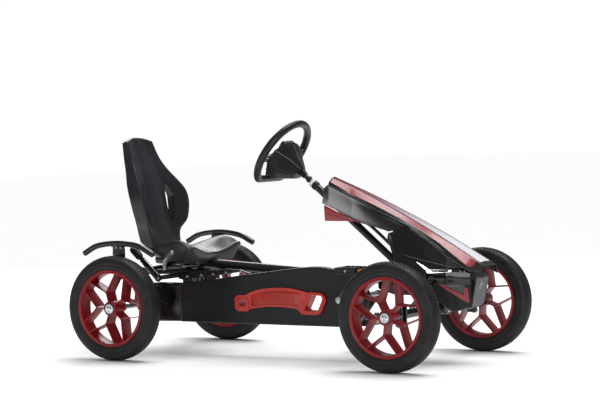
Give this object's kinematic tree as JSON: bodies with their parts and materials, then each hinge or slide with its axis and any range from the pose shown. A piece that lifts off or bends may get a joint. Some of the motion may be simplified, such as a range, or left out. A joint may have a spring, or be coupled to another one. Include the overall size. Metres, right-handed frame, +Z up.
{
  "type": "pedal go kart",
  "caption": "Large pedal go kart with spoked wheels, bucket seat, full-length chain guard, long sloping nose and a D-shaped steering wheel.",
  "frame": {"origin": "on the floor under the middle of the overall length and width", "axes": "+X forward along the longest side, +Y to the driver's left, +Z up"},
  "size_m": [1.597, 0.8744, 0.9016],
  "materials": {
    "black_paint": "satin black powder coat",
    "black_plastic": "fine-textured moulded black",
    "grey_plastic": "dark grey, satin",
    "black_grip": "soft black grip",
    "black_rubber": "black tyre rubber",
    "red_rim": "deep red, satin",
    "red_plastic": "red, satin",
    "satin_steel": "zinc plated, satin",
    "bright_steel": "bright zinc plated",
    "white_nylon": "natural nylon",
    "clear_lens": "clear, polished"
  },
  "bodies": {
    "frame": {"main_frame": "black_paint", "column_tube": "black_paint", "upper_column_bush": "white_nylon", "lower_column_bush": "white_nylon", "rear_bearing_right": "satin_steel", "rear_bearing_left": "satin_steel", "crank_bush": "white_nylon", "brake_shoe": "black_paint", "chain": "satin_steel", "chain_guard": "black_plastic", "chain_guard_back": "black_plastic", "rear_hub_cover": "black_plastic", "guard_grip": "red_plastic", "nose_top_cover": "red_plastic", "nose_side_panel_right": "grey_plastic", "nose_side_panel_left": "grey_plastic", "nose_winglet_right": "red_plastic", "nose_winglet_left": "red_plastic", "nose_lower_panel_right": "black_plastic", "nose_lower_panel_left": "black_plastic", "headlight_right": "clear_lens", "headlight_left": "clear_lens", "nose_bumper": "grey_plastic", "fender_bar_right": "black_paint", "fender_bar_left": "black_paint"},
    "steering_body": {"steering_shaft": "satin_steel", "pitman_arm": "black_paint", "steering_wheel": "black_grip", "steering_housing": "black_plastic"},
    "front_axle_body": {"front_axle_beam": "black_paint"},
    "knuckle_right_body": {"stub_axle_right": "black_paint"},
    "knuckle_left_body": {"stub_axle_left": "black_paint"},
    "tie_rod_right_body": {"tie_rod_right": "satin_steel"},
    "tie_rod_left_body": {"tie_rod_left": "satin_steel"},
    "front_right_wheel_body": {"front_right_tyre": "black_rubber", "front_right_rim": "red_rim", "front_right_hub_cap": "satin_steel"},
    "front_left_wheel_body": {"front_left_tyre": "black_rubber", "front_left_rim": "red_rim", "front_left_hub_cap": "satin_steel"},
    "rear_axle_body": {"rear_axle_shaft": "satin_steel", "drive_sprocket": "satin_steel", "brake_drum": "satin_steel", "rear_right_tyre": "black_rubber", "rear_right_rim": "red_rim", "rear_right_hub_cap": "satin_steel"},
    "rear_left_wheel_body": {"rear_left_tyre": "black_rubber", "rear_left_rim": "red_rim", "rear_left_hub_cap": "satin_steel"},
    "crank_body": {"crank": "black_paint", "chainring": "satin_steel"},
    "pedal_right_body": {"pedal_right": "black_plastic"},
    "pedal_left_body": {"pedal_left": "black_plastic"},
    "seat_body": {"seat_back": "black_plastic", "seat_pan": "black_plastic", "seat_slider": "black_paint"},
    "seat_lever_body": {"seat_lever": "bright_steel"},
    "brake_lever_body": {"brake_lever": "black_paint", "brake_grip": "black_grip"}
  },
  "joints": [
    {"name": "steering_turn", "type": "hinge", "parent": "frame", "child": "steering_body", "pos_m": [0.052, 0, 0.6655], "axis": [-0.766, 0, 0.6428], "range_deg": [-22, 22]},
    {"name": "front_axle_swing", "type": "hinge", "parent": "frame", "child": "front_axle_body", "pos_m": [0.5815, 0, 0.2], "axis": [1, 0, 0], "range_deg": [-6, 6]},
    {"name": "knuckle_right_turn", "type": "hinge", "parent": "front_axle_body", "child": "knuckle_right_body", "pos_m": [0.5815, -0.3, 0.2], "axis": [0, 0, 1], "range_deg": [-20, 20]},
    {"name": "knuckle_left_turn", "type": "hinge", "parent": "front_axle_body", "child": "knuckle_left_body", "pos_m": [0.5815, 0.3, 0.2], "axis": [0, 0, 1], "range_deg": [-20, 20]},
    {"name": "tie_rod_right_pivot", "type": "hinge", "parent": "knuckle_right_body", "child": "tie_rod_right_body", "pos_m": [0.4885, -0.3, 0.19], "axis": [0, 0, 1], "range_deg": [-20, 20]},
    {"name": "tie_rod_left_pivot", "type": "hinge", "parent": "knuckle_left_body", "child": "tie_rod_left_body", "pos_m": [0.4885, 0.3, 0.19], "axis": [0, 0, 1], "range_deg": [-20, 20]},
    {"name": "front_right_wheel_spin", "type": "hinge", "parent": "knuckle_right_body", "child": "front_right_wheel_body", "pos_m": [0.5815, -0.378, 0.2], "axis": [0, 1, 0], "continuous": true},
    {"name": "front_left_wheel_spin", "type": "hinge", "parent": "knuckle_left_body", "child": "front_left_wheel_body", "pos_m": [0.5815, 0.378, 0.2], "axis": [0, 1, 0], "continuous": true},
    {"name": "rear_axle_spin", "type": "hinge", "parent": "frame", "child": "rear_axle_body", "pos_m": [-0.5985, 0, 0.2], "axis": [0, 1, 0], "continuous": true},
    {"name": "rear_left_wheel_spin", "type": "hinge", "parent": "rear_axle_body", "child": "rear_left_wheel_body", "pos_m": [-0.5985, 0.3995, 0.2], "axis": [0, 1, 0], "continuous": true},
    {"name": "crank_spin", "type": "hinge", "parent": "frame", "child": "crank_body", "pos_m": [0.2465, 0, 0.2325], "axis": [0, 1, 0], "continuous": true},
    {"name": "pedal_right_spin", "type": "hinge", "parent": "crank_body", "child": "pedal_right_body", "pos_m": [0.33173, -0.207, 0.34981], "axis": [0, 1, 0], "continuous": true},
    {"name": "pedal_left_spin", "type": "hinge", "parent": "crank_body", "child": "pedal_left_body", "pos_m": [0.16127, 0.207, 0.11519], "axis": [0, 1, 0], "continuous": true},
    {"name": "seat_slide", "type": "slide", "parent": "frame", "child": "seat_body", "axis": [0.9984, 0, -0.0562], "range_m": [-0.08, 0.08]},
    {"name": "seat_lever_pull", "type": "hinge", "parent": "seat_body", "child": "seat_lever_body", "pos_m": [-0.4955, -0.12, 0.34], "axis": [0, 1, 0], "range_deg": [-15, 0]},
    {"name": "brake_lever_pull", "type": "hinge", "parent": "frame", "child": "brake_lever_body", "pos_m": [-0.4675, -0.2925, 0.31], "axis": [0, 1, 0], "range_deg": [0, 25]}
  ],
  "couplings": [
    {"joint": "knuckle_right_turn", "follows": "steering_turn", "ratio": 0.9},
    {"joint": "knuckle_left_turn", "follows": "steering_turn", "ratio": 0.9},
    {"joint": "tie_rod_right_pivot", "follows": "steering_turn", "ratio": -0.9},
    {"joint": "tie_rod_left_pivot", "follows": "steering_turn", "ratio": -0.9},
    {"joint": "crank_spin", "follows": "rear_axle_spin", "ratio": 0.5}
  ]
}
